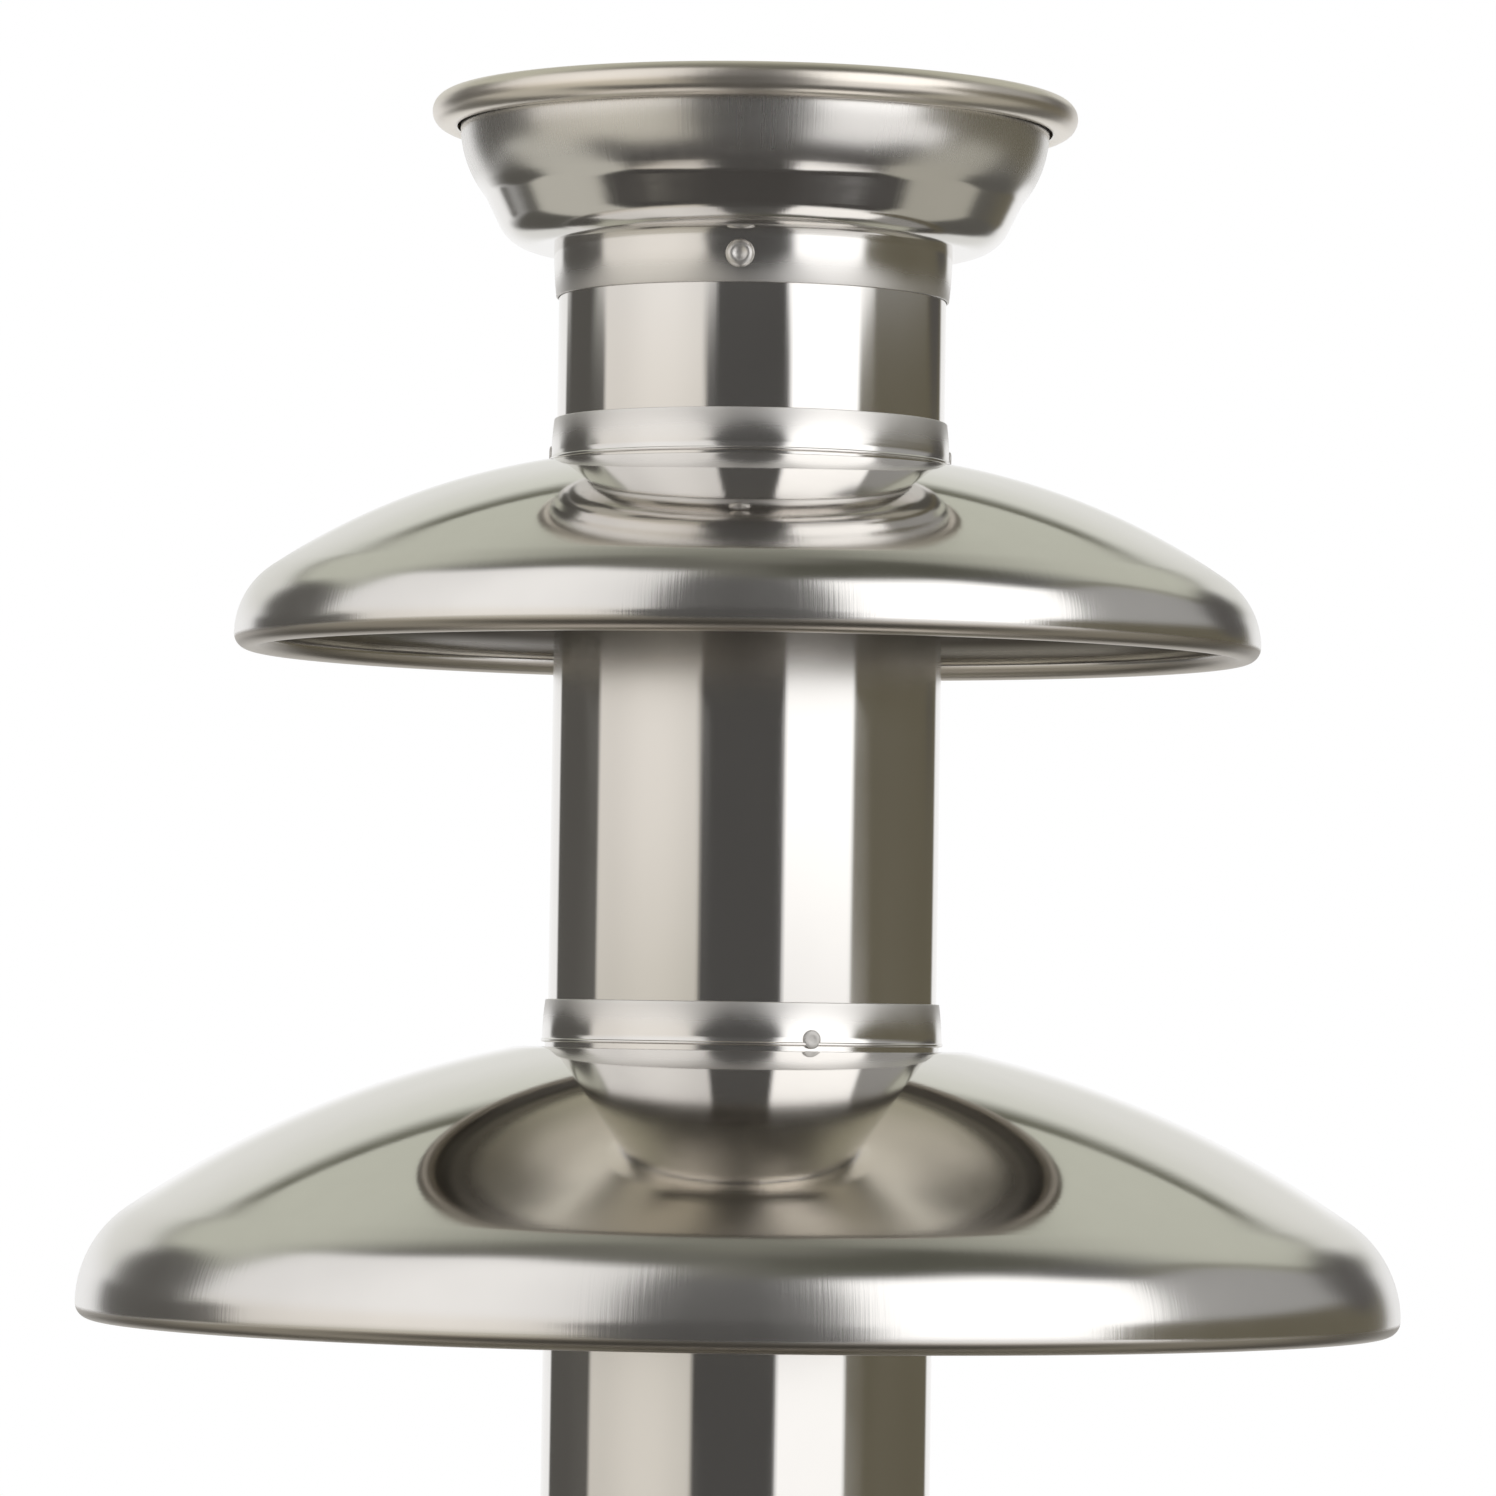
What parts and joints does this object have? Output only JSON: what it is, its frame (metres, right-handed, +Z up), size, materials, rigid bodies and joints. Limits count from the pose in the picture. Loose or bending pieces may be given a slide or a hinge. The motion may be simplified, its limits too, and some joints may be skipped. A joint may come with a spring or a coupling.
{
  "type": "chocolate fountain",
  "caption": "Chocolate fountain: stacked steel tower with a flared crown cup and domed tiers over a heated bowl, a screw auger inside and a gear-motor base.",
  "frame": {"origin": "on the table, on the axis of the tower, under the middle of the feet", "axes": "+Z up along the tower, -Y towards the controls, +X to the right seen from the controls"},
  "size_m": [0.22, 0.22, 0.4064],
  "materials": {
    "spun_steel": "polished spun stainless sheet",
    "collar_steel": "satin stainless",
    "tube_steel": "ring-brushed stainless tube",
    "rivet_steel": "bright stainless",
    "auger_plastic": "food-grade white moulding",
    "socket_plastic": "grey acetal",
    "bowl_steel": "satin stainless",
    "gasket_rubber": "matt",
    "bush_brass": "turned",
    "seal_rubber": "red silicone",
    "plated_steel": "zinc plated",
    "heater_sheath": "heat-dulled sheath",
    "sheet_zinc": "galvanised sheet",
    "control_body": "heat-resistant phenolic",
    "shaft_steel": "ground",
    "gear_nylon": "natural nylon",
    "rotor_steel": "laminated steel with a steel pinion",
    "motor_steel": "plated can",
    "coil_copper": "enamelled copper winding",
    "case_plastic": "filled nylon",
    "housing_steel": "brushed stainless",
    "base_paint": "black powder coat",
    "panel_plastic": "fine-textured black",
    "knob_plastic": "satin black",
    "rocker_plastic": "red",
    "lamp_lens": "amber",
    "blade_brass": "plated",
    "terminal_plastic": "natural",
    "pad_rubber": "matt black"
  },
  "bodies": {
    "base": {"bowl": "bowl_steel", "tower_pegs": "rivet_steel", "bowl_gasket": "gasket_rubber", "shaft_bush": "bush_brass", "bush_nut": "plated_steel", "shaft_seal": "seal_rubber", "bowl_standoffs": "plated_steel", "heater_element": "heater_sheath", "heater_clamp": "sheet_zinc", "clamp_studs": "plated_steel", "thermostat": "control_body", "idler_axle": "shaft_steel", "motor_can": "motor_steel", "motor_coil": "coil_copper", "gearbox_case": "case_plastic", "gearbox_lid": "case_plastic", "housing": "housing_steel", "base_plate": "base_paint", "chassis_plate": "sheet_zinc", "chassis_posts": "plated_steel", "chassis_screws": "plated_steel", "base_screws": "plated_steel", "control_panel": "panel_plastic", "heat_control": "control_body", "switch_body": "knob_plastic", "pilot_lamp": "lamp_lens", "power_inlet": "panel_plastic", "inlet_pins": "blade_brass", "terminal_block": "terminal_plastic", "foot_nuts": "plated_steel"},
    "drive": {"drive_shaft": "shaft_steel", "drive_pin": "shaft_steel", "output_gear": "gear_nylon"},
    "auger": {"auger_core": "auger_plastic", "auger_flight": "auger_plastic", "auger_socket": "socket_plastic", "auger_cap": "auger_plastic"},
    "idler": {"idler_gear": "gear_nylon"},
    "rotor": {"motor_rotor": "rotor_steel"},
    "lower_column": {"lower_tube": "tube_steel"},
    "lower_tier": {"lower_dome": "spun_steel", "lower_collar": "collar_steel", "lower_rivets": "rivet_steel"},
    "middle_column": {"middle_tube": "tube_steel"},
    "upper_tier": {"upper_dome": "spun_steel", "upper_collar": "collar_steel", "upper_rivets": "rivet_steel"},
    "upper_column": {"upper_tube": "tube_steel"},
    "crown": {"crown_cup": "spun_steel", "crown_collar": "collar_steel", "crown_rivets": "rivet_steel"},
    "knob": {"heat_knob": "knob_plastic", "knob_spindle": "shaft_steel"},
    "rocker": {"rocker_button": "rocker_plastic"},
    "front_foot": {"front_foot_pad": "pad_rubber", "front_foot_screw": "plated_steel"},
    "right_foot": {"right_foot_pad": "pad_rubber", "right_foot_screw": "plated_steel"},
    "left_foot": {"left_foot_pad": "pad_rubber", "left_foot_screw": "plated_steel"}
  },
  "joints": [
    {"name": "drive_spin", "type": "hinge", "parent": "base", "child": "drive", "pos_m": [0, 0, 0.06], "axis": [0, 0, 1], "continuous": true},
    {"name": "idler_spin", "type": "hinge", "parent": "base", "child": "idler", "pos_m": [0.00788, 0.01364, 0.06], "axis": [0, 0, 1], "continuous": true},
    {"name": "rotor_spin", "type": "hinge", "parent": "base", "child": "rotor", "pos_m": [0.012, 0, 0.04], "axis": [0, 0, 1], "continuous": true},
    {"name": "auger_lift", "type": "slide", "parent": "drive", "child": "auger", "axis": [0, 0, 1], "range_m": [0, 0.3]},
    {"name": "lower_column_lift", "type": "slide", "parent": "base", "child": "lower_column", "axis": [0, 0, 1], "range_m": [0, 0.3]},
    {"name": "lower_tier_lift", "type": "slide", "parent": "lower_column", "child": "lower_tier", "axis": [0, 0, 1], "range_m": [0, 0.06]},
    {"name": "middle_column_lift", "type": "slide", "parent": "lower_tier", "child": "middle_column", "axis": [0, 0, 1], "range_m": [0, 0.06]},
    {"name": "upper_tier_lift", "type": "slide", "parent": "middle_column", "child": "upper_tier", "axis": [0, 0, 1], "range_m": [0, 0.06]},
    {"name": "upper_column_lift", "type": "slide", "parent": "upper_tier", "child": "upper_column", "axis": [0, 0, 1], "range_m": [0, 0.04]},
    {"name": "crown_lift", "type": "slide", "parent": "upper_column", "child": "crown", "axis": [0, 0, 1], "range_m": [0, 0.04]},
    {"name": "knob_turn", "type": "hinge", "parent": "base", "child": "knob", "pos_m": [-0.024, -0.094, 0.058], "axis": [0, 1, 0], "range_deg": [0, 270]},
    {"name": "rocker_press", "type": "hinge", "parent": "base", "child": "rocker", "pos_m": [0.024, -0.094, 0.058], "axis": [-1, 0, 0], "range_deg": [0, 16]},
    {"name": "front_foot_screw_out", "type": "slide", "parent": "base", "child": "front_foot", "axis": [0, 0, 1], "range_m": [-0.006, 0]},
    {"name": "right_foot_screw_out", "type": "slide", "parent": "base", "child": "right_foot", "axis": [0, 0, 1], "range_m": [-0.006, 0]},
    {"name": "left_foot_screw_out", "type": "slide", "parent": "base", "child": "left_foot", "axis": [0, 0, 1], "range_m": [-0.006, 0]}
  ],
  "couplings": [
    {"joint": "idler_spin", "follows": "drive_spin", "ratio": -3.2},
    {"joint": "rotor_spin", "follows": "drive_spin", "ratio": 8.96}
  ]
}
